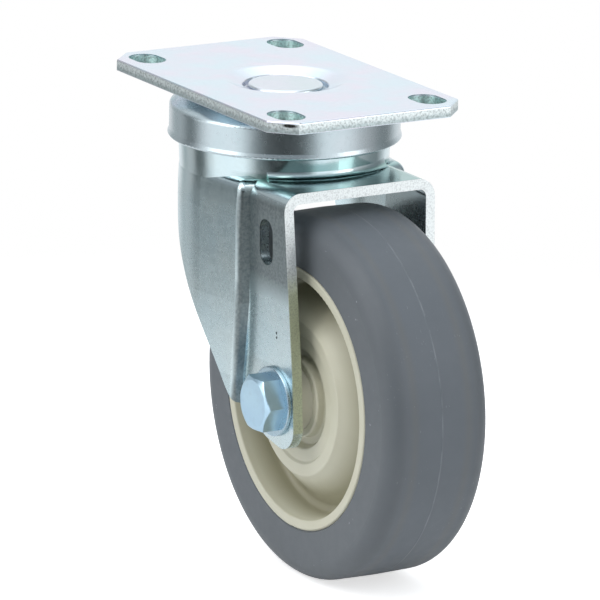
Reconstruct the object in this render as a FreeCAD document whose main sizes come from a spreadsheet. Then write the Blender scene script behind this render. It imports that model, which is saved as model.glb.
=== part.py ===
import FreeCAD, Part
import math
import os
import re
import Sketcher

# Swivel plate castor, millimetres.
# The origin lies on the swivel axis in the plate's top face, +Z is up, and the wheel trails
# towards +X with its axle along Y. The bolt's head and the brake slot are on the near leg, at -Y.

SIZES = {
    # top plate, laid out round its four long holes
    "slot_pitch_long": 76.2,
    "slot_pitch_wide": 44.45,
    "slot_width": 8.8,
    "slot_length": 12.2,
    "plate_end_margin": 9.525,
    "plate_side_margin": 7.925,
    "plate_thick": 3.2,
    "plate_corner": 6.35,
    "plate_edge_round": 0.5,
    # dish in the plate, for the head of the king pin
    "dish_gap": 1.4,
    "dish_depth": 3.4,
    "dish_mouth_spread": 5.2,
    "dish_mouth_drop": 1.6,
    "dish_mouth_round": 5.0,
    "dish_floor": 2.6,
    "dish_floor_round": 0.6,
    "dish_wall": 2.3,
    "dish_boss_round": 1.0,
    # king pin, which clamps plate, cap and lower race
    "king_radius": 6.35,
    "king_head_overhang": 4.05,
    "king_head_thick": 2.25,
    "king_head_round": 0.8,
    "king_foot_overhang": 2.65,
    "king_foot_height": 3.0,
    "king_foot_taper": 2.0,
    "king_play": 0.05,
    # lower race, from the king pin outwards
    "race_collar_wall": 2.2,
    "race_sheet": 2.2,
    "race_rim_height": 1.4,
    "race_rim_gap": 0.5,
    "race_rim_round": 0.5,
    "race_corner_round": 2.0,
    # balls
    "lower_ball": 4.76,
    "lower_groove_depth": 0.6,
    "lower_race_land": 4.62,
    "upper_ball": 6.35,
    "upper_groove_depth": 0.8,
    "upper_pitch_step": 3.5,
    "ball_play": 0.08,
    "ball_spacing_gap": 0.5,
    # stamped cap with the upper race
    "cap_sheet": 1.7,
    "cap_flat_reach": 2.5,
    "cap_top_round": 3.0,
    "cap_slope": 31.0,
    "cap_slope_round": 1.3,
    "cap_overlap": 5.69,
    "cap_lip_flare": 0.6,
    "cap_lip_height": 1.7,
    "cap_lip_round": 1.0,
    "cap_boss_gap": 0.5,
    "cap_seat_flare": 1.0,
    "cap_seat_round": 1.4,
    # fork: neck and crown
    "fork_sheet": 2.9,
    "neck_hole_gap": 4.4,
    "neck_race_gap": 0.82,
    "neck_cap_gap": 0.5,
    "neck_taper": 0.9,
    "neck_round": 4.0,
    "neck_height": 11.69,
    "neck_root_round": 2.4,
    "neck_root_sink": 0.04,
    "neck_root_end": 0.3,
    "channel_bend": 5.0,
    "bulge_set_in": 0.4,
    "bulge_angle": 8.0,
    "bulge_shoulder": 3.3,
    "bulge_swell_height": 10.5,
    "bulge_top_draw": 0.4,
    "bulge_bend_draw": 0.5,
    "bulge_foot_draw": 1.2,
    "step_set_in": 0.9,
    "step_angle": 18.0,
    "step_bend_lean": 0.6,
    "step_foot_lean": 3.0,
    "step_foot_above": 3.3,
    "step_ridge_round": 2.0,
    # fork: legs, laid out from the axle
    "leg_draw_in": 1.5,
    "leg_bend_above": 24.3,
    "leg_flat_margin": 0.4,
    "apron_fall": 6.5,
    "apron_round": 4.0,
    "leg_back": 12.0,
    "leg_back_fall": 19.5,
    "leg_back_round": 18.0,
    "heel_behind": 18.0,
    "heel_below": 3.5,
    "heel_round": 20.0,
    "sole_behind": 5.0,
    "sole_below": 10.9,
    "sole_round": 12.0,
    "toe_ahead": 4.0,
    "toe_below": 5.8,
    "toe_radius": 6.6,
    "crown_ahead": 5.5,
    "brake_slot_behind": 4.1,
    "brake_slot_fall": 15.1,
    "brake_slot_width": 7.0,
    "brake_slot_height": 12.8,
    # axle
    "axle_forward": 35.0,
    "bolt_radius": 4.76,
    "bolt_play": 0.15,
    "bolt_across": 14.3,
    "bolt_head_height": 5.6,
    "bolt_tip_length": 1.4,
    "bolt_tip_chamfer": 0.8,
    "hex_chamfer_inset": 0.55,
    "hex_chamfer_angle": 30.0,
    "washer_overhang": 4.69,
    "washer_thick": 1.2,
    "washer_round": 0.3,
    "nut_hex_height": 6.4,
    "nut_collar_height": 2.6,
    "nut_collar_wall": 0.8,
    "nut_collar_round": 1.2,
    "nut_mouth_gap": 0.6,
    "insert_height": 2.0,
    "insert_wall": 1.12,
    "sleeve_wall": 1.44,
    "sleeve_end_play": 0.05,
    "sleeve_end_round": 0.3,
    # bushes and hub, from the sleeve outwards
    "bush_play": 0.05,
    "bush_wall": 1.43,
    "bush_press_gap": 0.02,
    "bush_depth": 12.0,
    "bush_collar": 3.8,
    "bush_collar_overhang": 1.07,
    "bush_collar_round": 0.3,
    "hub_boss_wall": 3.15,
    "hub_groove_width": 3.2,
    "hub_groove_depth": 2.6,
    "hub_shelf_width": 4.1,
    "hub_shelf_drop": 0.6,
    "hub_ring_width": 3.3,
    "hub_ring_drop": 0.2,
    "hub_round": 0.6,
    "hub_side_play": 0.3,
    "hub_set_back": 0.475,
    # rim, web and tyre
    "web_cone_width": 6.2,
    "web_cone_rise": 3.4,
    "web_half": 5.6,
    "web_fall_width": 4.5,
    "web_round": 1.5,
    "web_knee_round": 3.0,
    "rim_draft": 1.55,
    "rim_lip": 2.75,
    "rim_round": 0.5,
    "rim_face_proud": 0.1,
    "key_height": 2.6,
    "key_half_width": 6.0,
    "key_taper": 1.0,
    "tyre_depth": 14.2,
    "tyre_width": 31.75,
    "tyre_shoulder": 5.0,
    "tyre_crown": 0.3,
    "tyre_side_chamfer": 0.5,
    "tyre_clearance": 5.1,
}

doc = FreeCAD.newDocument("SwivelCastor")
sheet = doc.addObject("Spreadsheet::Sheet", "Sizes")
for row, (alias, size) in enumerate(SIZES.items(), start=1):
    sheet.set(f"A{row}", alias)
    sheet.set(f"B{row}", str(size))
    sheet.setAlias(f"B{row}", alias)
doc.recompute()

PIECES = []


def bind(formula):
    """Write a formula of size names as an expression on the sheet."""
    return re.sub(r"[a-z]+(?:_[a-z]+)+", r"Sizes.\g<0>", str(formula))


def value(formula):
    """Work out a formula of size names."""
    return float(sheet.evalExpression(bind(formula)))


def new_body(name, kept=True):
    """Start a body; the ones that are kept are pieces of the castor."""
    body = doc.addObject("PartDesign::Body", name)
    body.Label = name
    if kept:
        PIECES.append(body)
    return body


def at_axle(body):
    """Put a body's origin on the axle, in the wheel's middle plane."""
    body.setExpression("Placement.Base.x", bind("axle_forward"))
    body.setExpression("Placement.Base.z", bind(AXLE))
    return body


def empty_sketch(body, name, plane, lift):
    """A sketch on one of the body's own origin planes, lifted along its normal."""
    sketch = body.newObject("Sketcher::SketchObject", name)
    support = next(f for f in body.Origin.OriginFeatures if f.Role == plane)
    sketch.AttachmentSupport = [(support, "")]
    sketch.MapMode = "FlatFace"
    sketch.setExpression("AttachmentOffset.Base.z", bind(lift))
    return sketch


def unit(angle):
    return FreeCAD.Vector(math.cos(angle), math.sin(angle), 0)


def heading(start, end):
    """Angle of the line that leaves one disc and reaches the next, both on its left."""
    gap = end["centre"] - start["centre"]
    sweep = math.asin((end["radius"] - start["radius"]) / gap.Length)
    return math.atan2(gap.y, gap.x) - sweep


def outline(body, name, plane, corners, lift=0):
    """Draw a closed sketch, going round with the material on the left.

    A corner is (x, y) where it is sharp, (x, y, radius) where it is rounded, or
    ("around", x, y, radius) for an arc about that centre, tangent to both its neighbours.
    """
    sketch = empty_sketch(body, name, plane, lift)
    discs = []
    for corner in corners:
        around = corner[0] == "around"
        x, y = corner[1:3] if around else corner[:2]
        centre = FreeCAD.Vector(value(x), value(y), 0)
        radius = value(corner[3]) if around else 0.0
        rounding = corner[2] if not around and len(corner) == 3 else None
        discs.append({"centre": centre, "radius": radius, "x": x, "y": y,
                      "around": corner[3] if around else None, "round": rounding})
    count = len(discs)
    angles = [heading(discs[i], discs[(i + 1) % count]) for i in range(count)]
    for i, disc in enumerate(discs):
        before, after = angles[i - 1], angles[i]
        turn = (after - before + math.pi) % (2 * math.pi) - math.pi
        if disc["around"] and turn < 0:
            turn += 2 * math.pi
        disc["left"] = turn > 0
        side = 1 if turn > 0 else -1
        if disc["round"]:
            disc["radius"] = value(disc["round"])
            reach = disc["radius"] * math.tan(abs(turn) / 2)
            disc["reach"] = disc["centre"] - unit(before) * reach
            disc["leave"] = disc["centre"] + unit(after) * reach
            disc["middle"] = disc["reach"] + unit(before + side * math.pi / 2) * disc["radius"]
        else:
            disc["reach"] = disc["centre"] + unit(before - math.pi / 2) * disc["radius"]
            disc["leave"] = disc["centre"] + unit(after - math.pi / 2) * disc["radius"]
            disc["middle"] = disc["centre"]
    for i, disc in enumerate(discs):
        sketch.addGeometry(Part.LineSegment(disc["leave"], discs[(i + 1) % count]["reach"]), False)
    ties = []
    sizes = []

    def size(kind, geometry, formula, *point):
        sizes.append((len(ties), formula))
        ties.append(Sketcher.Constraint(kind, geometry, *point, value(formula)))

    for i, disc in enumerate(discs):
        line_in, line_out = (i - 1) % count, i
        if not (disc["around"] or disc["round"]):
            ties.append(Sketcher.Constraint("Coincident", line_in, 2, line_out, 1))
            size("DistanceX", line_out, disc["x"], 1)
            size("DistanceY", line_out, disc["y"], 1)
            continue
        first, last = ("reach", "leave") if disc["left"] else ("leave", "reach")
        spokes = [disc[key] - disc["middle"] for key in (first, last)]
        start, end = [math.atan2(spoke.y, spoke.x) for spoke in spokes]
        circle = Part.Circle(disc["middle"], FreeCAD.Vector(0, 0, 1), disc["radius"])
        arc = sketch.addGeometry(Part.ArcOfCircle(circle, start, end), False)
        reach_end, leave_end = (1, 2) if disc["left"] else (2, 1)
        ties.append(Sketcher.Constraint("Tangent", line_in, 2, arc, reach_end))
        ties.append(Sketcher.Constraint("Tangent", arc, leave_end, line_out, 1))
        if disc["around"]:
            size("DistanceX", arc, disc["x"], 3)
            size("DistanceY", arc, disc["y"], 3)
            size("Radius", arc, disc["around"])
        else:
            point = sketch.addGeometry(Part.Point(disc["centre"]), True)
            size("DistanceX", point, disc["x"], 1)
            size("DistanceY", point, disc["y"], 1)
            ties.append(Sketcher.Constraint("PointOnObject", point, 1, line_in))
            ties.append(Sketcher.Constraint("PointOnObject", point, 1, line_out))
            size("Radius", arc, disc["round"])
    sketch.addConstraint(ties)
    for index, formula in sizes:
        sketch.setExpression(f"Constraints[{index}]", bind(formula))
    return sketch


def ring_sketch(body, name, plane, x, y, radius):
    """A sketch of one circle."""
    sketch = empty_sketch(body, name, plane, 0)
    centre = FreeCAD.Vector(value(x), value(y), 0)
    sketch.addGeometry(Part.Circle(centre, FreeCAD.Vector(0, 0, 1), value(radius)), False)
    sketch.addConstraint([Sketcher.Constraint("DistanceX", 0, 3, value(x)),
                          Sketcher.Constraint("DistanceY", 0, 3, value(y)),
                          Sketcher.Constraint("Radius", 0, value(radius))])
    for index, formula in enumerate((x, y, radius)):
        sketch.setExpression(f"Constraints[{index}]", bind(formula))
    return sketch


def revolve(body, name, sketch, cut=False):
    """Turn a sketch about its own vertical axis, to add or to cut."""
    kind = "PartDesign::Groove" if cut else "PartDesign::Revolution"
    feature = body.newObject(kind, name)
    feature.Profile = sketch
    feature.ReferenceAxis = (sketch, ["V_Axis"])
    feature.Angle = 360
    return feature


def pad(body, name, sketch, length, way="One side", reverse=False):
    """Raise a sketch along its normal, to one side or evenly to both."""
    feature = body.newObject("PartDesign::Pad", name)
    feature.Profile = sketch
    feature.SideType = way
    feature.Reversed = reverse
    feature.setExpression("Length", bind(length))
    return feature


def loft(body, name, sketches):
    """Join sketches with straight-sided walls."""
    feature = body.newObject("PartDesign::AdditiveLoft", name)
    feature.Profile = (sketches[0], [""])
    feature.Sections = [(sketch, [""]) for sketch in sketches[1:]]
    feature.Ruled = True
    return feature


def round_edges(body, name, radius, wanted):
    """Round the edges of a body's last shape that a test picks out."""
    doc.recompute()
    base = body.Tip
    names = [f"Edge{i}" for i, edge in enumerate(base.Shape.Edges, start=1) if wanted(edge)]
    feature = body.newObject("PartDesign::Fillet", name)
    feature.Base = (base, names)
    feature.setExpression("Radius", bind(radius))
    return feature


def boolean(kind, name, shapes):
    """Join the shapes, keep what they share, or take the second from the first."""
    feature = doc.addObject(kind, name)
    if kind == "Part::Cut":
        feature.Base, feature.Tool = shapes
    else:
        feature.Shapes = shapes
    return feature


def level(edge, height):
    """Whether an edge lies flat at a height."""
    box = edge.BoundBox
    return max(abs(box.ZMin - height), abs(box.ZMax - height)) < 1e-6


# Heights of the swivel head, worked down from the plate.
DISH_UNDER = "-(dish_depth + dish_floor)"
CAP_UNDER = "-(plate_thick + cap_sheet)"
COLLAR_TOP = f"({DISH_UNDER} - cap_sheet)"
UPPER_BALL_HEIGHT = f"({CAP_UNDER} + upper_groove_depth - upper_ball / 2 - ball_play)"
NECK_TOP = f"({UPPER_BALL_HEIGHT} + upper_groove_depth - upper_ball / 2 - ball_play)"
NECK_UNDER = f"({NECK_TOP} - fork_sheet)"
CAP_FOOT = f"({NECK_TOP} - cap_overlap)"
CROWN = f"({NECK_TOP} - neck_height)"
LOWER_BALL_HEIGHT = f"({NECK_UNDER} + lower_groove_depth - lower_ball / 2 - ball_play)"
RACE_TOP = f"({LOWER_BALL_HEIGHT} + lower_groove_depth - lower_ball / 2 - ball_play)"
RACE_UNDER = f"({RACE_TOP} - race_sheet)"

# Radii of the swivel head, worked out from the king pin.
KING_BORE = "(king_radius + king_play)"
KING_HEAD = "(king_radius + king_head_overhang)"
DISH_RADIUS = f"({KING_HEAD} + dish_gap)"
DISH_BOSS = f"({DISH_RADIUS} + dish_wall)"
RACE_COLLAR = f"({KING_BORE} + race_collar_wall)"
NECK_HOLE = f"({RACE_COLLAR} + neck_hole_gap)"
LOWER_PITCH = f"({NECK_HOLE} + lower_race_land + lower_ball / 2)"
UPPER_PITCH = f"({LOWER_PITCH} + upper_pitch_step)"
RACE_RIM = f"({LOWER_PITCH} + lower_ball / 2 + race_rim_gap)"
RACE_RADIUS = f"({RACE_RIM} + race_sheet)"
NECK_FOOT = f"({RACE_RADIUS} + neck_race_gap + fork_sheet)"
NECK_RADIUS = f"({NECK_FOOT} + neck_taper)"
CAP_INSIDE = f"({NECK_RADIUS} + neck_cap_gap)"
CAP_RADIUS = f"({CAP_INSIDE} + cap_sheet)"
CAP_TOP_RADIUS = f"({UPPER_PITCH} + cap_flat_reach)"
BULGE_RADIUS = f"({NECK_RADIUS} - bulge_set_in)"
STEP_REACH = f"({BULGE_RADIUS} - step_set_in)"

# Radii of the wheel, worked out from the axle bolt.
SLEEVE_RADIUS = "(bolt_radius + bolt_play + sleeve_wall)"
BUSH_BORE = f"({SLEEVE_RADIUS} + bush_play)"
BUSH_RADIUS = f"({BUSH_BORE} + bush_wall)"
CORE_BORE = f"({BUSH_RADIUS} + bush_press_gap)"
HUB_BOSS = f"({CORE_BORE} + hub_boss_wall)"
HUB_SHELF = f"({HUB_BOSS} + hub_groove_width)"
RING_INSIDE = f"({HUB_SHELF} + hub_shelf_width)"
RING_OUTSIDE = f"({RING_INSIDE} + hub_ring_width)"
WEB_KNEE = f"({RING_OUTSIDE} + web_cone_width)"
WEB_RADIUS = f"({WEB_KNEE} + web_fall_width)"
RIM_INSIDE = f"({WEB_RADIUS} + rim_draft)"
RIM_RADIUS = f"({RIM_INSIDE} + rim_lip)"
WHEEL_RADIUS = f"({RIM_RADIUS} + tyre_depth)"

# Widths from the wheel's middle plane out to the legs, and the height of the axle.
TYRE_SIDE = "(tyre_width / 2)"
HUB_HALF = f"({TYRE_SIDE} - hub_set_back)"
RING_HALF = f"({HUB_HALF} - hub_ring_drop)"
LEG_INNER = f"({HUB_HALF} + bush_collar + hub_side_play)"
LEG_OUTER = f"({LEG_INNER} + fork_sheet)"
CHANNEL_HALF = f"({LEG_OUTER} + leg_draw_in)"
AXLE = f"({CROWN} - fork_sheet - tyre_clearance - {WHEEL_RADIUS})"
LEG_UNDER = f"({AXLE} - toe_below - 2 * toe_radius)"
CROWN_FRONT = "(axle_forward + crown_ahead)"
HOLE_RADIUS = "(bolt_radius + bolt_play)"
WASHER_RADIUS = f"({HOLE_RADIUS} + washer_overhang)"
WASHER_FACE = f"({LEG_OUTER} + washer_thick)"


def make_top_plate():
    """Pressed plate: clipped corners, four long holes, a flared dish for the pin's head."""
    body = new_body("top_plate")
    long = "(slot_pitch_long / 2 + plate_end_margin)"
    wide = "(slot_pitch_wide / 2 + plate_side_margin)"
    corners = []
    for across, along in ((1, -1), (1, 1), (-1, 1), (-1, -1)):
        end = (f"{across} * {long}", f"{along} * ({wide} - plate_corner)")
        side = (f"{across} * ({long} - plate_corner)", f"{along} * {wide}")
        corners += [side, end] if across == -along else [end, side]
    plan = outline(body, "plate_plan", "XY_Plane", corners)
    pad(body, "plate_blank", plan, "plate_thick", reverse=True)
    round_edges(body, "plate_edges", "plate_edge_round", lambda edge: level(edge, 0))
    boss = outline(body, "dish_boss_profile", "XZ_Plane", [
        ("0", DISH_UNDER), (DISH_BOSS, DISH_UNDER, "dish_boss_round"),
        (DISH_BOSS, "-plate_thick / 2"), ("0", "-plate_thick / 2")])
    revolve(body, "dish_boss", boss)
    mouth = f"({DISH_RADIUS} + dish_mouth_spread)"
    rim = f"({mouth} + dish_mouth_round)"
    hollow = outline(body, "dish_profile", "XZ_Plane", [
        ("0", "-dish_depth"), (DISH_RADIUS, "-dish_depth", "dish_floor_round"),
        (DISH_RADIUS, "-dish_mouth_drop", "dish_floor_round"), (mouth, "0", "dish_mouth_round"),
        (rim, "0"), (rim, "plate_thick"), ("0", "plate_thick")])
    revolve(body, "dish", hollow, cut=True)
    below = f"({DISH_UNDER} - plate_thick)"
    bore = outline(body, "king_bore_profile", "XZ_Plane", [
        ("0", below), (KING_BORE, below), (KING_BORE, "plate_thick"), ("0", "plate_thick")])
    revolve(body, "king_bore", bore, cut=True)
    for across in (-1, 1):
        for along in (-1, 1):
            make_plate_slot(body, across, along)


def make_plate_slot(body, across, along):
    """One long hole, its length along the plate."""
    middle = f"{across} * slot_pitch_long / 2"
    reach = "(slot_length - slot_width) / 2"
    side = f"{along} * slot_pitch_wide / 2"
    name = f"slot_{'front' if across > 0 else 'rear'}_{'far' if along > 0 else 'near'}"
    sketch = outline(body, f"{name}_plan", "XY_Plane", [
        ("around", f"{middle} + {reach}", side, "slot_width / 2"),
        ("around", f"{middle} - {reach}", side, "slot_width / 2")])
    pocket = body.newObject("PartDesign::Pocket", name)
    pocket.Profile = sketch
    pocket.Type = "ThroughAll"


def make_kingpin():
    """Turned pin: flat head in the dish, shank, and the riveted foot under the lower race."""
    body = new_body("kingpin")
    foot = "(king_radius + king_foot_overhang)"
    under = f"({RACE_UNDER} - king_foot_height)"
    top = "(king_head_thick - dish_depth)"
    profile = outline(body, "kingpin_profile", "XZ_Plane", [
        ("0", under), (f"{foot} - king_foot_taper", under, "king_head_round"),
        (foot, f"{RACE_UNDER} - king_foot_taper / 2"), (foot, RACE_UNDER),
        ("king_radius", RACE_UNDER), ("king_radius", "-dish_depth"),
        (KING_HEAD, "-dish_depth", "king_head_round / 2"), (KING_HEAD, top, "king_head_round"),
        ("0", top)])
    revolve(body, "kingpin_turned", profile)


def make_race_cap():
    """Stamped cap: seat under the dish, flat race, sloped shoulder, skirt with a flared lip."""
    body = new_body("race_cap")
    seat = f"({DISH_BOSS} + cap_boss_gap)"
    flat = f"({CAP_TOP_RADIUS} - cap_sheet * tan(cap_slope / 2))"
    shoulder = f"(-plate_thick - ({CAP_RADIUS} - {CAP_TOP_RADIUS}) * tan(cap_slope))"
    shoulder_under = f"({CAP_UNDER} - ({CAP_INSIDE} - {flat}) * tan(cap_slope))"
    lip_top = f"({CAP_FOOT} + cap_lip_height)"
    profile = outline(body, "race_cap_profile", "XZ_Plane", [
        (KING_BORE, COLLAR_TOP), (f"{seat} + cap_seat_flare", COLLAR_TOP, "cap_seat_round"),
        (f"{seat} + 2 * cap_seat_flare", CAP_UNDER, "cap_seat_round / 2"),
        (flat, CAP_UNDER, "cap_top_round / 2"), (CAP_INSIDE, shoulder_under, "cap_slope_round / 2"),
        (CAP_INSIDE, lip_top), (f"{CAP_INSIDE} + cap_lip_flare", CAP_FOOT),
        (f"{CAP_RADIUS} + cap_lip_flare", CAP_FOOT, "cap_lip_round / 2"),
        (CAP_RADIUS, lip_top, "cap_lip_round"), (CAP_RADIUS, shoulder, "cap_slope_round"),
        (CAP_TOP_RADIUS, "-plate_thick", "cap_top_round"),
        (f"{seat} + cap_seat_flare", "-plate_thick", "cap_seat_round"),
        (seat, DISH_UNDER, "cap_seat_round / 4"), (KING_BORE, DISH_UNDER)])
    revolve(body, "race_cap_formed", profile)
    cut_race(body, "upper_race", UPPER_PITCH, UPPER_BALL_HEIGHT, "upper_ball")


def cut_race(body, name, pitch, height, ball):
    """Groove in which a ring of balls runs."""
    sketch = ring_sketch(body, f"{name}_profile", "XZ_Plane", pitch, height, f"{ball} / 2 + ball_play")
    revolve(body, name, sketch, cut=True)


def make_lower_race():
    """Stamped cup: collar up to the cap, floor under the small balls, upturned rim."""
    body = new_body("lower_race")
    rim_top = f"({RACE_TOP} + race_rim_height)"
    profile = outline(body, "lower_race_profile", "XZ_Plane", [
        (KING_BORE, RACE_UNDER), (RACE_RADIUS, RACE_UNDER, "race_corner_round"),
        (RACE_RADIUS, rim_top, "race_rim_round"), (RACE_RIM, rim_top, "race_rim_round"),
        (RACE_RIM, RACE_TOP), (RACE_COLLAR, RACE_TOP, "race_corner_round / 2"),
        (RACE_COLLAR, COLLAR_TOP), (KING_BORE, COLLAR_TOP)])
    revolve(body, "lower_race_formed", profile)
    cut_race(body, "lower_race_groove", LOWER_PITCH, LOWER_BALL_HEIGHT, "lower_ball")


def make_balls(name, ball, pitch, height):
    """A full ring of balls, as many as fit with a small gap between them."""
    body = new_body(name)
    sketch = empty_sketch(body, f"{name}_profile", "XZ_Plane", 0)
    middle = FreeCAD.Vector(value(pitch), value(height), 0)
    radius = value(ball) / 2
    circle = Part.Circle(middle, FreeCAD.Vector(0, 0, 1), radius)
    sketch.addGeometry(Part.ArcOfCircle(circle, -math.pi / 2, math.pi / 2), False)
    top, bottom = middle + unit(math.pi / 2) * radius, middle - unit(math.pi / 2) * radius
    sketch.addGeometry(Part.LineSegment(top, bottom), False)
    sketch.addConstraint([Sketcher.Constraint("Coincident", 0, 2, 1, 1),
                          Sketcher.Constraint("Coincident", 1, 2, 0, 1),
                          Sketcher.Constraint("PointOnObject", 0, 3, 1),
                          Sketcher.Constraint("Vertical", 1),
                          Sketcher.Constraint("DistanceX", 0, 3, value(pitch)),
                          Sketcher.Constraint("DistanceY", 0, 3, value(height)),
                          Sketcher.Constraint("Radius", 0, radius)])
    for index, formula in ((4, pitch), (5, height), (6, f"{ball} / 2")):
        sketch.setExpression(f"Constraints[{index}]", bind(formula))
    first = body.newObject("PartDesign::Revolution", f"{name}_first")
    first.Profile = sketch
    first.ReferenceAxis = (sketch, ["Edge2"])
    first.Angle = 360
    doc.recompute()
    ring = body.newObject("PartDesign::PolarPattern", f"{name}_ring")
    ring.Originals = [first]
    ring.Axis = (next(f for f in body.Origin.OriginFeatures if f.Role == "Z_Axis"), [""])
    ring.Angle = 360
    ring.setExpression("Occurrences", bind(
        f"floor(180 / asin(({ball} + ball_spacing_gap) / (2 * {pitch})) * 1deg)"))
    body.Tip = ring


def make_channel(name, inset):
    """Form of the straight-sided front of the fork, smaller by the inset on each wall."""
    body = new_body(name, kept=False)
    top = f"({CROWN} - {inset})"
    front = f"(2 * {CROWN_FRONT})"
    flat = f"({AXLE} + {WASHER_RADIUS} + leg_flat_margin)"
    stages = [(top, "0"), (flat, "leg_draw_in"), (LEG_UNDER, "leg_draw_in")]
    sections = []
    for stage, (height, draw_in) in enumerate(stages):
        half = f"({CHANNEL_HALF} - {draw_in} - {inset})"
        sections.append(outline(body, f"{name}_plan_{stage}", "XY_Plane", [
            ("0", f"-{half}"), (front, f"-{half}"), (front, half), ("0", half)], lift=height))
    loft(body, f"{name}_form", sections)
    height = value(top)
    round_edges(body, f"{name}_bends", f"channel_bend - {inset}",
                lambda edge: level(edge, height) and edge.BoundBox.YLength < 1e-6)
    return body


def make_bulge(name, inset, ridge_round):
    """Form of the bulged back of the fork: round behind, flat cheeks, a step in to the front."""
    body = new_body(name, kept=False)
    top = f"({CROWN} - {inset})"
    stages = [(top, "bulge_top_draw", "0"), (f"({CROWN} - bulge_swell_height)", "0", "0"),
              (f"({AXLE} + leg_bend_above)", "bulge_bend_draw", "step_bend_lean"),
              (f"({AXLE} + step_foot_above)", "bulge_foot_draw", "step_foot_lean"),
              (LEG_UNDER, "bulge_foot_draw", "step_foot_lean")]
    inner_y = f"({CHANNEL_HALF} - channel_bend - fork_sheet)"
    spread = "cos(bulge_angle + step_angle)"
    sections = []
    for stage, (height, draw_in, lean) in enumerate(stages):
        radius = f"({BULGE_RADIUS} - {draw_in} - {inset})"
        reach = f"({STEP_REACH} - {lean} - {inset})"
        ridge_x = f"(({reach} * cos(bulge_angle) - {radius} * sin(step_angle)) / {spread})"
        ridge_y = f"(({radius} * cos(step_angle) - {reach} * sin(bulge_angle)) / {spread})"
        inner_x = f"(({reach} - {inner_y} * sin(step_angle)) / cos(step_angle))"
        sections.append(outline(body, f"{name}_plan_{stage}", "XY_Plane", [
            ("around", "0", "0", radius), (ridge_x, f"-{ridge_y}", ridge_round),
            (inner_x, f"-{inner_y}"), (inner_x, inner_y), (ridge_x, ridge_y, ridge_round)],
            lift=height))
    loft(body, f"{name}_form", sections)
    height = value(top)
    front = value(inner_y)

    def outside(edge):
        spans_front = max(abs(edge.BoundBox.YMax - front), abs(edge.BoundBox.YMin + front)) < 1e-6
        return level(edge, height) and not spans_front

    round_edges(body, f"{name}_shoulder", f"bulge_shoulder - {inset}", outside)
    return body


def make_neck_root():
    """Hollow round between the neck and the flat of the crown, in front of the bulge."""
    body = new_body("fork_root_ring", kept=False)
    slope = "neck_taper / (neck_height + bulge_shoulder)"
    foot = f"({NECK_FOOT} + bulge_shoulder * {slope} - neck_root_sink)"
    level_top = f"({CROWN} - neck_root_sink)"
    above = "(2 * neck_root_round)"
    head = f"({foot} + {above} * {slope})"
    inside = f"({NECK_FOOT} - fork_sheet / 2)"
    outside = f"({foot} + {above})"
    under = f"({CROWN} - fork_sheet / 2)"
    revolve(body, "root_ring_form", outline(body, "root_ring_profile", "XZ_Plane", [
        (inside, under), (outside, under), (outside, level_top), (foot, level_top, "neck_root_round"),
        (head, f"{CROWN} + {above}"), (inside, f"{CROWN} + {above}")]))
    front = new_body("fork_root_front", kept=False)
    half = f"({CHANNEL_HALF} - channel_bend - neck_root_end)"
    reach = f"(2 * {NECK_RADIUS})"
    pad(front, "root_front_form", outline(front, "root_front_plan", "XY_Plane", [
        ("0", f"-{half}"), (reach, f"-{half}"), (reach, half), ("0", half)],
        lift=f"{CROWN} - fork_sheet"), "neck_height")
    return boolean("Part::MultiCommon", "fork_root", [body, front])


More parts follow.
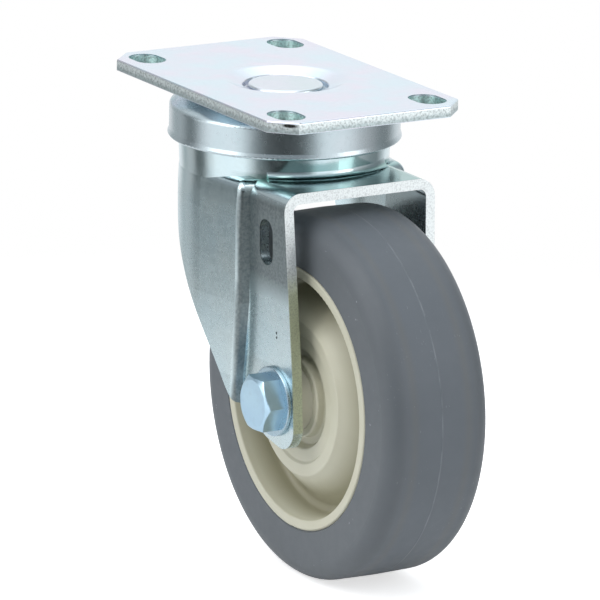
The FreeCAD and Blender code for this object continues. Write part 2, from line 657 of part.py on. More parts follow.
def make_fork():
    """One pressed sheet: outer form less inner form, trimmed to the leg's outline and pierced."""
    neck = new_body("fork_neck_outer", kept=False)
    neck_under = f"({CROWN} - bulge_shoulder)"
    revolve(neck, "neck_outer_form", outline(neck, "neck_outer_profile", "XZ_Plane", [
        ("0", neck_under), (NECK_FOOT, neck_under), (NECK_RADIUS, NECK_TOP, "neck_round"),
        ("0", NECK_TOP)]))
    hollow = new_body("fork_neck_inner", kept=False)
    hollow_under = f"({CROWN} - 2 * fork_sheet)"
    above = f"({NECK_TOP} + fork_sheet)"
    revolve(hollow, "neck_inner_form", outline(hollow, "neck_inner_profile", "XZ_Plane", [
        ("0", hollow_under), (f"{NECK_FOOT} - fork_sheet", hollow_under),
        (f"{NECK_RADIUS} - fork_sheet", NECK_UNDER, "neck_round - fork_sheet"),
        (NECK_HOLE, NECK_UNDER), (NECK_HOLE, above), ("0", above)]))
    formed = boolean("Part::MultiFuse", "fork_formed", [
        make_channel("fork_channel_outer", "0"), make_bulge("fork_bulge_outer", "0", "step_ridge_round"), neck])
    outer = boolean("Part::MultiFuse", "fork_outer", [formed, make_neck_root()])
    inside = boolean("Part::MultiFuse", "fork_inner", [
        make_channel("fork_channel_inner", "fork_sheet"), make_bulge("fork_bulge_inner", "fork_sheet", "channel_bend - fork_sheet"),
        hollow])
    pressed = boolean("Part::Cut", "fork_pressed", [outer, inside])
    side = new_body("fork_side", kept=False)
    back = f"-({BULGE_RADIUS} + fork_sheet)"
    across = f"3 * {BULGE_RADIUS}"
    apron = f"({CROWN} - apron_fall)"
    pad(side, "fork_side_form", outline(side, "fork_side_outline", "XZ_Plane", [
        (back, above), (back, apron), ("-leg_back", apron, "apron_round"),
        ("-leg_back", f"{CROWN} - leg_back_fall", "leg_back_round"),
        ("axle_forward - heel_behind", f"{AXLE} - heel_below", "heel_round"),
        ("axle_forward - sole_behind", f"{AXLE} - sole_below", "sole_round"),
        ("around", "axle_forward + toe_ahead", f"{AXLE} - toe_below", "toe_radius"),
        (CROWN_FRONT, CROWN), (CROWN_FRONT, above)]), across, way="Symmetric")
    trimmed = boolean("Part::MultiCommon", "fork_trimmed", [pressed, side])
    holes = new_body("fork_holes", kept=False)
    slot_x = "axle_forward - brake_slot_behind"
    slot_z = f"{CROWN} - brake_slot_fall"
    reach = "(brake_slot_height - brake_slot_width) / 2"
    pad(holes, "brake_slot", outline(holes, "brake_slot_outline", "XZ_Plane", [
        ("around", slot_x, f"{slot_z} + {reach}", "brake_slot_width / 2"),
        ("around", slot_x, f"{slot_z} - {reach}", "brake_slot_width / 2")]), across)
    axle_hole = ring_sketch(holes, "axle_hole_outline", "XZ_Plane", "axle_forward", AXLE, HOLE_RADIUS)
    pad(holes, "axle_holes", axle_hole, across, way="Symmetric")
    shape = boolean("Part::Cut", "fork_pierced", [trimmed, holes])
    for name, pitch, height, ball in (("fork_raced", UPPER_PITCH, UPPER_BALL_HEIGHT, "upper_ball"),
                                      ("fork", LOWER_PITCH, LOWER_BALL_HEIGHT, "lower_ball")):
        race = doc.addObject("Part::Torus", f"{name}_race")
        race.setExpression("Radius1", bind(pitch))
        race.setExpression("Radius2", bind(f"{ball} / 2 + ball_play"))
        race.setExpression("Placement.Base.z", bind(height))
        shape = boolean("Part::Cut", name, [shape, race])
    shape.Label = "fork"
    PIECES.append(shape)


def hexagon(body, name, lift):
    """A hexagon about the axle with one corner forward."""
    corner = "bolt_across / 2 / cos(30)"
    return outline(body, name, "XZ_Plane", [
        (f"{corner} * cos({turn})", f"{corner} * sin({turn})") for turn in range(0, 360, 60)],
        lift=lift)


def chamfer_hex(body, name, face, way):
    """Turn the corners of a hex head down where they meet its face."""
    edge = "bolt_across"
    inner = "(bolt_across / 2 - hex_chamfer_inset)"
    low = f"{face} - {way} * ({edge} - {inner}) * tan(hex_chamfer_angle)"
    corners = [(inner, face), (edge, low), (edge, face)]
    if way < 0:
        corners.reverse()
    revolve(body, name, outline(body, f"{name}_profile", "XY_Plane", corners), cut=True)


def make_axle_bolt():
    """Hex head bolt, its head on the near leg."""
    body = at_axle(new_body("axle_bolt"))
    face = f"(-{WASHER_FACE} - bolt_head_height)"
    tip = f"({WASHER_FACE} + nut_hex_height + nut_collar_height + bolt_tip_length)"
    head = hexagon(body, "bolt_head_plan", f"-({face})")
    pad(body, "bolt_head", head, "bolt_head_height", reverse=True)
    chamfer_hex(body, "bolt_head_chamfer", face, -1)
    shank = outline(body, "bolt_shank_profile", "XY_Plane", [
        ("0", f"{face} + bolt_head_height / 2"), ("bolt_radius", f"{face} + bolt_head_height / 2"),
        ("bolt_radius", f"{tip} - bolt_tip_chamfer"), ("bolt_radius - bolt_tip_chamfer", tip),
        ("0", tip)])
    revolve(body, "bolt_shank", shank)


def make_washer(name, way):
    """Flat washer on the outside of a leg."""
    body = at_axle(new_body(name))
    low, high = f"{way} * {LEG_OUTER}", f"{way} * {WASHER_FACE}"
    if way < 0:
        low, high = high, low
    revolve(body, f"{name}_turned", outline(body, f"{name}_profile", "XY_Plane", [
        (HOLE_RADIUS, low), (WASHER_RADIUS, low, "washer_round"),
        (WASHER_RADIUS, high, "washer_round"), (HOLE_RADIUS, high)]))


def make_lock_nut():
    """Hex lock nut on the far leg, with a crimped collar over its nylon ring."""
    body = at_axle(new_body("lock_nut"))
    shoulder = f"({WASHER_FACE} + nut_hex_height)"
    end = f"({shoulder} + nut_collar_height)"
    bore = "(bolt_radius + bush_press_gap)"
    ring = f"({bore} + insert_wall)"
    ring_end = f"({shoulder} + insert_height)"
    collar = f"({ring} + nut_collar_wall)"
    mouth = "(bolt_radius + nut_mouth_gap)"
    plan = hexagon(body, "nut_plan", f"-{WASHER_FACE}")
    pad(body, "nut_hex", plan, "nut_hex_height", reverse=True)
    chamfer_hex(body, "nut_chamfer", shoulder, 1)
    revolve(body, "nut_collar", outline(body, "nut_collar_profile", "XY_Plane", [
        ("0", WASHER_FACE), (collar, WASHER_FACE), (collar, end, "nut_collar_round"), ("0", end)]))
    revolve(body, "nut_bore", outline(body, "nut_bore_profile", "XY_Plane", [
        ("0", LEG_OUTER), (bore, LEG_OUTER), (bore, shoulder), (ring, shoulder), (ring, ring_end),
        (mouth, ring_end), (mouth, f"{end} + nut_collar_height"),
        ("0", f"{end} + nut_collar_height")]), cut=True)
    insert = at_axle(new_body("nut_insert"))
    revolve(insert, "insert_turned", outline(insert, "insert_profile", "XY_Plane", [
        (bore, shoulder), (f"{ring} - bush_press_gap", shoulder),
        (f"{ring} - bush_press_gap", ring_end), (bore, ring_end)]))


def make_axle_sleeve():
    """Steel spanner bush, clamped between the legs; the wheel runs on it."""
    body = at_axle(new_body("axle_sleeve"))
    half = f"({LEG_INNER} - sleeve_end_play)"
    revolve(body, "sleeve_turned", outline(body, "sleeve_profile", "XY_Plane", [
        (HOLE_RADIUS, f"-{half}"), (SLEEVE_RADIUS, f"-{half}", "sleeve_end_round"),
        (SLEEVE_RADIUS, half, "sleeve_end_round"), (HOLE_RADIUS, half)]))


def make_tyre():
    """Moulded tyre: lightly crowned tread, round shoulders, a groove for the rim's key."""
    body = at_axle(new_body("tyre"))
    outer = [(WHEEL_RADIUS, "0"), (f"{WHEEL_RADIUS} - tyre_crown", TYRE_SIDE, "tyre_shoulder"),
             (f"{RIM_RADIUS} + tyre_side_chamfer", TYRE_SIDE),
             (RIM_RADIUS, f"{TYRE_SIDE} - tyre_side_chamfer"), (RIM_RADIUS, "key_half_width"),
             (f"{RIM_RADIUS} + key_height", "key_half_width - key_taper")]
    mirrored = [(x, f"-({y})", *rest) for x, y, *rest in outer[1:]]
    corners = outer + list(reversed(mirrored))
    revolve(body, "tyre_moulded", outline(body, "tyre_profile", "XY_Plane", corners))


def make_wheel_core():
    """Moulded core: keyed rim, conical web, hub ring with a shelf inside it, boss with the bore."""
    body = at_axle(new_body("wheel_core"))
    rim_face = f"({TYRE_SIDE} + rim_face_proud)"
    shelf = f"({RING_HALF} - hub_shelf_drop)"
    groove = f"({RING_HALF} - hub_groove_depth)"
    half = [(f"{RIM_RADIUS} + key_height", "key_half_width - key_taper"),
            (RIM_RADIUS, "key_half_width"), (RIM_RADIUS, rim_face, "rim_round"),
            (RIM_INSIDE, rim_face, "rim_round"), (WEB_RADIUS, "web_half", "web_round"),
            (WEB_KNEE, "web_half + web_cone_rise", "web_knee_round"),
            (RING_OUTSIDE, RING_HALF, "hub_round"), (RING_INSIDE, RING_HALF, "hub_round / 2"),
            (f"{RING_INSIDE} - hub_shelf_drop", shelf, "hub_round / 2"),
            (HUB_SHELF, shelf, "hub_round"),
            (f"{HUB_SHELF} - hub_groove_width / 3", groove, "hub_round"),
            (HUB_BOSS, groove, "hub_round"), (HUB_BOSS, HUB_HALF, "hub_round"),
            (CORE_BORE, HUB_HALF)]
    mirrored = [(x, f"-({y})", *rest) for x, y, *rest in reversed(half)]
    revolve(body, "core_moulded", outline(body, "core_profile", "XY_Plane", half + mirrored))


def make_bush(name, way):
    """Plain bush with a collar, pressed into one end of the core."""
    body = at_axle(new_body(name))
    collar = f"({BUSH_RADIUS} + bush_collar_overhang)"
    inner_end = f"{way} * ({HUB_HALF} - bush_depth)"
    seat = f"{way} * {HUB_HALF}"
    face = f"{way} * ({HUB_HALF} + bush_collar)"
    corners = [(BUSH_BORE, inner_end), (BUSH_RADIUS, inner_end), (BUSH_RADIUS, seat),
               (collar, seat), (collar, face, "bush_collar_round"), (BUSH_BORE, face)]
    if way < 0:
        corners.reverse()
    revolve(body, f"{name}_moulded", outline(body, f"{name}_profile", "XY_Plane", corners))


make_top_plate()
make_kingpin()
make_race_cap()
make_lower_race()
make_balls("upper_balls", "upper_ball", UPPER_PITCH, UPPER_BALL_HEIGHT)
make_balls("lower_balls", "lower_ball", LOWER_PITCH, LOWER_BALL_HEIGHT)
make_fork()
make_axle_bolt()
make_washer("bolt_washer", -1)
make_washer("nut_washer", 1)
make_lock_nut()
make_axle_sleeve()
make_tyre()
make_wheel_core()
make_bush("bush_near", -1)
make_bush("bush_far", 1)
doc.recompute()

for item in doc.Objects:
    if "Invalid" in item.State or "Error" in item.State:
        raise RuntimeError(f"{item.Name} failed: {item.State}")
for piece in PIECES:
    if piece.Shape.isNull() or not piece.Shape.isValid():
        raise RuntimeError(f"{piece.Label} has no valid shape")
os.makedirs("parts", exist_ok=True)
for piece in PIECES:
    piece.Shape.exportStep(f"parts/{piece.Label}.step")
    print(piece.Label, len(piece.Shape.Solids), round(piece.Shape.Volume, 1))
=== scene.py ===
import math

import bmesh
import bpy
from mathutils import Matrix, Vector


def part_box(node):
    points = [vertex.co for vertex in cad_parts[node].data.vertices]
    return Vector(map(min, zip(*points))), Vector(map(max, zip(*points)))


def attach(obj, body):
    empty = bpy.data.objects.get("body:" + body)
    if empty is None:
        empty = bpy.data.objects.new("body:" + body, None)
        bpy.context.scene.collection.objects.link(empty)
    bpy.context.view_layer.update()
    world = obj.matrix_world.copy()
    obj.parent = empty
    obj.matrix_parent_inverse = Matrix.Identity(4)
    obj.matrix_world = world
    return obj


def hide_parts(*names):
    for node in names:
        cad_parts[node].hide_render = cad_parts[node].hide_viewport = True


# The castor stands as the frame has it: the swivel axis is Z, the plate's top face is at height 0,
# the wheel trails towards +X, and its axle runs along Y.
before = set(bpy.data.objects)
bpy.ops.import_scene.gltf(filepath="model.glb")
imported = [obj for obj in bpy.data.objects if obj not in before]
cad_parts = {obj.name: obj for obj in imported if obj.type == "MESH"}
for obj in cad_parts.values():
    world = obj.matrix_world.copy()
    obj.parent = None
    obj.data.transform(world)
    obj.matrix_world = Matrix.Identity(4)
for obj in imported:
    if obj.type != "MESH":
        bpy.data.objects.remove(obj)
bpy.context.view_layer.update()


# The camera of the photograph: a long lens, a little above the plate, off the wheel's front
# quarter. It looks at a point that lies slightly beside the middle of the castor.
camera_turn = math.radians(59.15)
camera_rise = math.radians(14.95)
camera_roll = math.radians(1.18)
camera_distance = 1.740
aim_sideways = 0.00393
aim_up = -0.06085
photo_width = 600
focal_pixels = 6333.0
film_width = 36.0

level = Vector((math.cos(camera_turn), math.sin(camera_turn), 0))
backwards = Vector((math.sin(camera_turn) * math.cos(camera_rise),
                    -math.cos(camera_turn) * math.cos(camera_rise),
                    math.sin(camera_rise)))
upright = backwards.cross(level)
right = level * math.cos(camera_roll) + upright * math.sin(camera_roll)
up = upright * math.cos(camera_roll) - level * math.sin(camera_roll)
lens = bpy.data.cameras.new("camera")
lens.lens = focal_pixels / photo_width * film_width
lens.sensor_width = film_width
lens.clip_end = 20
camera = bpy.data.objects.new("camera", lens)
turned = Matrix((right, up, backwards)).transposed().to_4x4()
stand = right * aim_sideways + up * aim_up + backwards * camera_distance
camera.matrix_world = Matrix.Translation(stand) @ turned
bpy.context.scene.collection.objects.link(camera)
bpy.context.scene.camera = camera
bpy.context.scene.view_settings.view_transform = "Standard"


# The studio's surroundings, as the photograph's bright metal shows them: white paper behind the
# castor, a lit sheet on each side of the photographer, and dark room between and beyond them.
# Higher up the room is hazy, and overhead it is bright. The camera itself sees plain white.
def shown(red, green, blue):
    """A colour as the screen shows it, from 0 to 255, in Blender's linear numbers."""
    parts = [part / 255 for part in (red, green, blue)]
    linear = [part / 12.92 if part <= 0.04045 else ((part + 0.055) / 1.055) ** 2.4 for part in parts]
    return (*linear, 1)


def add_node(tree, kind, at=None, **settings):
    """A shader node, with its properties set by name and its inputs by their labels."""
    node = tree.nodes.new("ShaderNode" + kind)
    for name, setting in settings.items():
        setattr(node, name, setting)
    for socket, content in (at or {}).items():
        if hasattr(content, "links"):
            tree.links.new(content, node.inputs[socket])
        else:
            node.inputs[socket].default_value = content
    return node


def maths(tree, operation, *amounts):
    """The result of one sum on up to three amounts."""
    node = add_node(tree, "Math", dict(enumerate(amounts)), operation=operation)
    return node.outputs[0]


def stretch(tree, amount, low, high, to_low=0.0, to_high=1.0):
    """The amount between low and high, spread over another range and held at its ends."""
    node = add_node(tree, "MapRange", {"Value": amount, "From Min": low, "From Max": high,
                                       "To Min": to_low, "To Max": to_high})
    return node.outputs["Result"]


def round_about(tree, across, turns, tint):
    """The light that comes from each side, through stops of degrees and brightness.

    Degrees count from the photographer, positive towards the right of the picture.
    """
    node = add_node(tree, "ValToRGB", {"Fac": across})
    band = node.color_ramp
    while len(band.elements) < len(turns):
        band.elements.new(0.5)
    for element, (degrees, bright) in zip(band.elements, turns):
        element.position = degrees / 360 + 0.5
        element.color = tint(bright)
    return node.outputs["Color"]


def room_tint(bright):
    """The room's light is a little cool, and its dark corners are cooler."""
    warm = 0.90 if bright < 0.5 else 0.98
    return (bright * warm, bright, bright * 1.02, 1)


def ceiling_tint(bright):
    """The ceiling's light has a blue cast."""
    return (bright - 0.04, bright, bright + 0.04, 1)


room_turns = [(-180, 1.0), (-156, 0.95), (-148, 0.7), (-140, 0.48), (-130, 0.6), (-120, 0.54),
              (-111, 0.15), (-100, 0.18), (-91, 0.85), (-80, 1.25), (-45, 1.3), (-36, 0.8),
              (-28, 0.25), (-15, 0.04), (8, 0.04), (20, 0.1), (29, 0.45), (38, 1.25), (66, 1.2),
              (80, 0.75), (95, 0.5), (108, 0.32), (124, 0.25), (136, 0.7), (146, 1.0), (180, 1.0)]
ceiling_turns = [(-180, 1.72), (-144, 1.03), (-122.4, 0.74), (-104.4, 1.64), (0, 1.64), (54, 0.84),
                 (108, 0.54), (144, 1.03), (180, 1.72)]
haze_run = (0.1, 0.26)
haze_colour = (0.30, 0.32, 0.34, 1)
ceiling_run = (0.45, 0.75)
lamp_share = 0.15

room = bpy.data.worlds.new("room")
room.use_nodes = True
tree = room.node_tree
tree.nodes.clear()
direction = add_node(tree, "TexCoord").outputs["Generated"]
to_photographer = Vector((backwards.x, backwards.y, 0)).normalized()
facing = add_node(tree, "VectorMath", {0: direction, 1: to_photographer}, operation="DOT_PRODUCT")
sideways = add_node(tree, "VectorMath", {0: direction, 1: level}, operation="DOT_PRODUCT")
turn = maths(tree, "ARCTAN2", sideways.outputs["Value"], facing.outputs["Value"])
across = maths(tree, "MULTIPLY_ADD", turn, 1 / (2 * math.pi), 0.5)
around = round_about(tree, across, room_turns, room_tint)
overhead = round_about(tree, across, ceiling_turns, ceiling_tint)
height = add_node(tree, "SeparateXYZ", {"Vector": direction}).outputs["Z"]
haze = stretch(tree, height, *haze_run)
hazy = add_node(tree, "Mix", {"Factor": haze, "A": around, "B": haze_colour},
                data_type="RGBA", blend_type="LIGHTEN").outputs["Result"]
above = stretch(tree, height, *ceiling_run)
sky = add_node(tree, "Mix", {"Factor": above, "A": hazy, "B": overhead}, data_type="RGBA")
light_path = add_node(tree, "LightPath")
mirrored = maths(tree, "MAXIMUM", light_path.outputs["Is Glossy Ray"],
                 light_path.outputs["Is Transmission Ray"])
strength = maths(tree, "MULTIPLY_ADD", mirrored, lamp_share, 1 - lamp_share)
seen = add_node(tree, "Background", {"Color": (1, 1, 1, 1), "Strength": 1.0})
unseen = add_node(tree, "Background", {"Color": sky.outputs["Result"], "Strength": strength})
either = add_node(tree, "MixShader", {"Fac": light_path.outputs["Is Camera Ray"]})
tree.links.new(unseen.outputs[0], either.inputs[1])
tree.links.new(seen.outputs[0], either.inputs[2])
add_node(tree, "OutputWorld", {"Surface": either.outputs[0]})
bpy.context.scene.world = room


# The floor is a round sheet of white paper under the tread. It fades into the background at its
# rim, and is left out where it is seen from below. It is lifted to white for the camera, and keeps
# the castor's shadow.
def from_swivel(tree, place):
    """Distance from the swivel axis, at any height."""
    flat = add_node(tree, "VectorMath", {0: place, 1: (1, 1, 0)}, operation="MULTIPLY")
    return add_node(tree, "VectorMath", {0: flat.outputs[0]}, operation="LENGTH").outputs["Value"]


floor_radius = 0.34
floor_clear = 0.17
floor_forward = 0.02
floor_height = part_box("tyre")[0].z
paper_white = 0.88
camera_lift = 0.66
shape = bmesh.new()
bmesh.ops.create_circle(shape, cap_ends=True, segments=96, radius=floor_radius,
                        matrix=Matrix.Translation((floor_forward, 0, floor_height)))
mesh = bpy.data.meshes.new("floor")
shape.to_mesh(mesh)
shape.free()
floor = bpy.data.objects.new("floor", mesh)
bpy.context.scene.collection.objects.link(floor)
paper = bpy.data.materials.new("paper")
paper.use_nodes = True
tree = paper.node_tree
tree.nodes.clear()
away = from_swivel(tree, add_node(tree, "TexCoord").outputs["Object"])
fade = add_node(tree, "MapRange", {"Value": away, "From Min": floor_clear,
                                   "From Max": floor_radius - floor_forward},
                interpolation_type="SMOOTHSTEP")
matt = add_node(tree, "BsdfDiffuse", {"Color": (paper_white, paper_white, paper_white, 1)})
onlooker = add_node(tree, "LightPath").outputs["Is Camera Ray"]
lift = maths(tree, "MULTIPLY", onlooker, camera_lift)
glow = add_node(tree, "Emission", {"Color": (1, 1, 1, 1), "Strength": lift})
lit = add_node(tree, "AddShader", {0: matt.outputs[0], 1: glow.outputs[0]})
clear = add_node(tree, "BsdfTransparent")
under = add_node(tree, "NewGeometry").outputs["Backfacing"]
gone = maths(tree, "MAXIMUM", fade.outputs["Result"], under)
mixed = add_node(tree, "MixShader", {"Fac": gone})
tree.links.new(lit.outputs[0], mixed.inputs[1])
tree.links.new(clear.outputs[0], mixed.inputs[2])
add_node(tree, "OutputMaterial", {"Surface": mixed.outputs[0]})
mesh.materials.append(paper)


# Three soft lamps: a wide one overhead, a key on the left and a weaker one on the right. Each is
# a square panel that faces the middle of the castor.
castor_middle = Vector((0.02, 0, -0.06))


def softbox(name, direction, distance, size, power):
    """A square lamp in that direction from the middle of the castor."""
    lamp = bpy.data.lights.new(name, "AREA")
    lamp.shape = "SQUARE"
    lamp.size = size
    lamp.energy = power
    holder = bpy.data.objects.new(name, lamp)
    holder.location = castor_middle + direction.normalized() * distance
    holder.rotation_euler = (-direction).to_track_quat("-Z", "Y").to_euler()
    bpy.context.scene.collection.objects.link(holder)


softbox("lamp_above", Vector((0, 0, 1)) + to_photographer * 0.25, 1.0, 0.8, 2.3)
softbox("lamp_left", to_photographer * 0.45 - level + Vector((0, 0, 0.75)), 1.1, 0.6, 2.0)
softbox("lamp_right", to_photographer * 0.35 + level + Vector((0, 0, 0.45)), 1.2, 0.45, 1.0)


# Top plate: cold-pressed steel, sheared to its outline, pierced with four long holes and dished in
# the middle, then zinc plated blue. The top is smooth with a faint violet and green cast, and the
# sheared edges are rough and dull.
mm = 0.001


def noise(tree, place, size, detail=3.0, rough=0.55):
    """Cloudy noise whose patches are about as large as the size given."""
    node = add_node(tree, "TexNoise", {"Vector": place, "Scale": 1 / size, "Detail": detail,
                                       "Roughness": rough})
    return node.outputs["Fac"]


def mix(tree, amount, first, second):
    """The second colour laid over the first by the amount."""
    node = add_node(tree, "Mix", {"Factor": amount, "A": first, "B": second}, data_type="RGBA")
    return node.outputs["Result"]


def bump(tree, height, depth, below=None):
    """Relief of that depth from a height between 0 and 1, on top of another relief."""
    node = add_node(tree, "Bump", {"Height": height, "Distance": depth, "Strength": 1.0})
    if below:
        tree.links.new(below, node.inputs["Normal"])
    return node.outputs["Normal"]


def new_material(name):
    """An empty material, its nodes, and the place on the piece in the piece's own coordinates."""
    material = bpy.data.materials.new(name)
    material.use_nodes = True
    tree = material.node_tree
    tree.nodes.clear()
    return material, tree, add_node(tree, "TexCoord").outputs["Object"]


def finish_material(tree, **inputs):
    """A surface with those inputs, given by their labels with underscores for spaces."""
    labels = {name.replace("_", " "): content for name, content in inputs.items()}
    surface = add_node(tree, "BsdfPrincipled", labels)
    add_node(tree, "OutputMaterial", {"Surface": surface.outputs["BSDF"]})


patch_size = 16 * mm
mottle_size = 1.6 * mm
clouded = 0.72
speck_gap = 11 * mm
speck_colour = (0.12, 0.14, 0.15, 1)
grain_size = 0.3 * mm
grain_depth = 0.0015 * mm
wave_size = 5 * mm
wave_depth = 0.03 * mm
pit_floor = 0.22 * mm
pit_rim = 0.5 * mm
pit_depth = 0.15 * mm
pit_colour = (0.03, 0.03, 0.03, 1)
chip_depth = 0.07 * mm
chip_colour = (0.16, 0.18, 0.18, 1)
torn_rough = 0.42


def zinc(name, base, cast, smooth, cloud=0.0, edge=None, painted_reflections_and_gloss=None, dents=()):
    """Bright zinc plate: soft patches of another cast, faint clouding, fine grain and a few specks.

    The edge function marks where the sheet was cut, the other function lays painted reflections in
    its own colour and changes the roughness there, and dents are the places of small dark pits.
    """
    material, tree, place = new_material(name)
    patches = stretch(tree, noise(tree, place, patch_size, 2.0), 0.36, 0.64)
    colour = mix(tree, patches, base, cast)
    mottle = noise(tree, place, mottle_size, 4.0)
    dull = [part * clouded for part in base[:3]]
    colour = mix(tree, stretch(tree, mottle, 0.5, 0.78, 0.0, 0.12 + cloud), colour, (*dull, 1))
    cells = add_node(tree, "TexVoronoi", {"Vector": place, "Scale": 1 / speck_gap})
    specks = stretch(tree, cells.outputs["Distance"], 0.012, 0.024, 0.6, 0.0)
    colour = mix(tree, specks, colour, speck_colour)
    shine = stretch(tree, mottle, 0.3, 0.7, smooth - 0.01, smooth + 0.03)
    if painted_reflections_and_gloss:
        # Painted reflections: their own colour laid over the plating where their mask says.
        painted_reflection_mask, painted_reflection_colour, gloss = painted_reflections_and_gloss(tree, place)
        colour = mix(tree, painted_reflection_mask, colour, painted_reflection_colour)
        shine = maths(tree, "ADD", shine, gloss)
    grain = bump(tree, noise(tree, place, grain_size, 2.0), grain_depth)
    relief = bump(tree, noise(tree, place, wave_size, 2.0), wave_depth, grain)
    for dent in dents:
        away = add_node(tree, "VectorMath", {0: place, 1: dent}, operation="DISTANCE")
        pit = stretch(tree, away.outputs["Value"], pit_floor, pit_rim, 1.0, 0.0)
        colour = mix(tree, pit, colour, pit_colour)
        relief = bump(tree, pit, -pit_depth, relief)
    if edge:
        mask, cut_colour, torn_colour, torn, chip_size, chipped = edge(tree, place)
        chips = noise(tree, place, chip_size, 3.0)
        sheared = mix(tree, torn, cut_colour, torn_colour)
        sheared = mix(tree, stretch(tree, chips, 0.45, 0.65, 0.0, chipped), sheared, chip_colour)
        colour = mix(tree, mask, colour, sheared)
        shine = stretch(tree, mask, 0.0, 1.0, shine, torn_rough)
        relief = bump(tree, maths(tree, "MULTIPLY", mask, chips), chip_depth, relief)
    finish_material(tree, Base_Color=colour, Metallic=1.0, Roughness=shine, Normal=relief)
    return material


def dress(node, material):
    """Give a CAD piece its finish."""
    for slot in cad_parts[node].material_slots:
        slot.material = material


def between(tree, amount, low, high, soft=0.12 * mm):
    """One inside the two limits and nothing outside them."""
    rise = stretch(tree, amount, low - soft, low + soft)
    fall = stretch(tree, amount, high - soft, high + soft, 1.0, 0.0)
    return maths(tree, "MULTIPLY", rise, fall)


def up_to(tree, amount, limit):
    """One up to the limit and nothing past it."""
    return stretch(tree, amount, limit, limit + 0.2 * mm, 1.0, 0.0)


plate_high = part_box("top_plate")[1]
plate_clip = 6.35 * mm
dish_reach = 18 * mm
hole_margin = 1.8 * mm
edge_band = (-3.05 * mm, -0.45 * mm)
torn_run = (-1.2 * mm, -0.2 * mm)
nick_place = Vector((45.8, -25.6, -0.92)) * mm
nick_squat = 4
nick_rim = (2.3 * mm, 3.2 * mm)
nick_colour = shown(48, 46, 42)


def plate_edges(tree, place):
    """The plate's sides and the walls of its holes, which carry a painted green reflection, but not
    the dish.

    Low down the shear has torn them, and the near corner has a dark nick under its upper edge.
    """
    split = add_node(tree, "SeparateXYZ", {"Vector": place})
    inside = between(tree, split.outputs["Z"], *edge_band)
    outside = stretch(tree, from_swivel(tree, place), dish_reach, dish_reach + 0.1 * mm)
    wander = maths(tree, "MULTIPLY", noise(tree, place, 0.9 * mm), 2.4 * mm)
    ragged = maths(tree, "ADD", split.outputs["Z"], wander)
    torn = stretch(tree, ragged, *torn_run, 1.0, 0.0)
    along = maths(tree, "ABSOLUTE", split.outputs["X"])
    side = maths(tree, "ABSOLUTE", split.outputs["Y"])
    holes = maths(tree, "MULTIPLY", up_to(tree, along, plate_high.x - hole_margin),
                  up_to(tree, side, plate_high.y - hole_margin))
    corner = plate_high.x + plate_high.y - plate_clip - hole_margin
    holes = maths(tree, "MULTIPLY", holes, up_to(tree, maths(tree, "ADD", along, side), corner))
    squat = add_node(tree, "VectorMath", {0: place, 1: (1, 1, nick_squat)}, operation="MULTIPLY")
    middle = Vector((nick_place.x, nick_place.y, nick_place.z * nick_squat))
    aside = add_node(tree, "VectorMath", {0: squat.outputs[0], 1: middle}, operation="DISTANCE")
    rim = maths(tree, "MULTIPLY_ADD", noise(tree, place, 0.7 * mm), 1.6 * mm, aside.outputs["Value"])
    nick = stretch(tree, rim, *nick_rim, 1.0, 0.0)
    # The hole walls' greener colours are a painted green reflection.
    bright = mix(tree, holes, shown(240, 248, 248), shown(212, 240, 237))
    dull = mix(tree, holes, shown(196, 209, 210), shown(182, 214, 210))
    bright = mix(tree, nick, bright, nick_colour)
    dull = mix(tree, nick, dull, nick_colour)
    return maths(tree, "MULTIPLY", inside, outside), bright, dull, torn, 0.7 * mm, 0.5


plate_zinc = zinc("plate_zinc", shown(218, 233, 241), shown(229, 227, 238), 0.24, edge=plate_edges)
dress("top_plate", plate_zinc)


# Race cap: a deep stamping of zinc plated steel, clamped under the plate, with the upper ball
# race inside it. The drawing has left its skirt smooth and bright.
cap_zinc = zinc("cap_zinc", shown(190, 204, 209), shown(196, 206, 211), 0.25)
dress("race_cap", cap_zinc)


# The two rings of hardened steel balls, large ones in the cap and small ones in the cup.
# They are polished and wear a thin film of grease.
ball_steel, tree, place = new_material("ball_steel")
film = noise(tree, place, 2.5 * mm)
greased = mix(tree, stretch(tree, film, 0.4, 0.7), (0.56, 0.57, 0.58, 1), (0.36, 0.33, 0.26, 1))
finish_material(tree, Base_Color=greased, Metallic=1.0,
                Roughness=stretch(tree, film, 0.3, 0.7, 0.08, 0.24))
dress("upper_balls", ball_steel)
dress("lower_balls", ball_steel)


# Fork: one pressed steel sheet, drawn up into the neck and down into two legs, then zinc plated.
# Its cut edge in front is torn and dull, with an olive cast lower down, and two small pits lie
# low on the near leg.
crown_front = 40.5 * mm
crown_height = -21.5 * mm
toe_front = 45.6 * mm
toe_height = -86.1 * mm
edge_skin = 0.25 * mm
olive_run = (-44 * mm, -36 * mm)
crown_reflection_band = (-22.6 * mm, -20.2 * mm)
crown_reflection_run = (14 * mm, 22 * mm)
neck_run = (-30 * mm, -20 * mm)
legs_top = (-26 * mm, -23 * mm)
cheek_face = 23.05 * mm
step_turn = math.radians(18)
step_low = (-84 * mm, 25.2 * mm)
step_high = (-48 * mm, 28.0 * mm)
leg_dents = [Vector((35.97, -22.8, -60.9)) * mm, Vector((36.01, -22.8, -62.15)) * mm]


def fork_edges(tree, place):
    """The cut edge of the sheet along the front of the crown and legs."""
    split = add_node(tree, "SeparateXYZ", {"Vector": place})
    lean = (toe_front - crown_front) / (crown_height - toe_height)
    front = maths(tree, "MULTIPLY_ADD", split.outputs["Z"], lean, split.outputs["X"])
    start = crown_front + crown_height * lean
    mask = stretch(tree, front, start - edge_skin, start - edge_skin / 2)
    wander = maths(tree, "MULTIPLY", noise(tree, place, 6 * mm), 10 * mm)
    low = maths(tree, "ADD", split.outputs["Z"], wander)
    torn = stretch(tree, low, *olive_run, 1.0, 0.0)
    return mask, shown(240, 245, 245), shown(204, 212, 190), torn, 0.45 * mm, 0.3


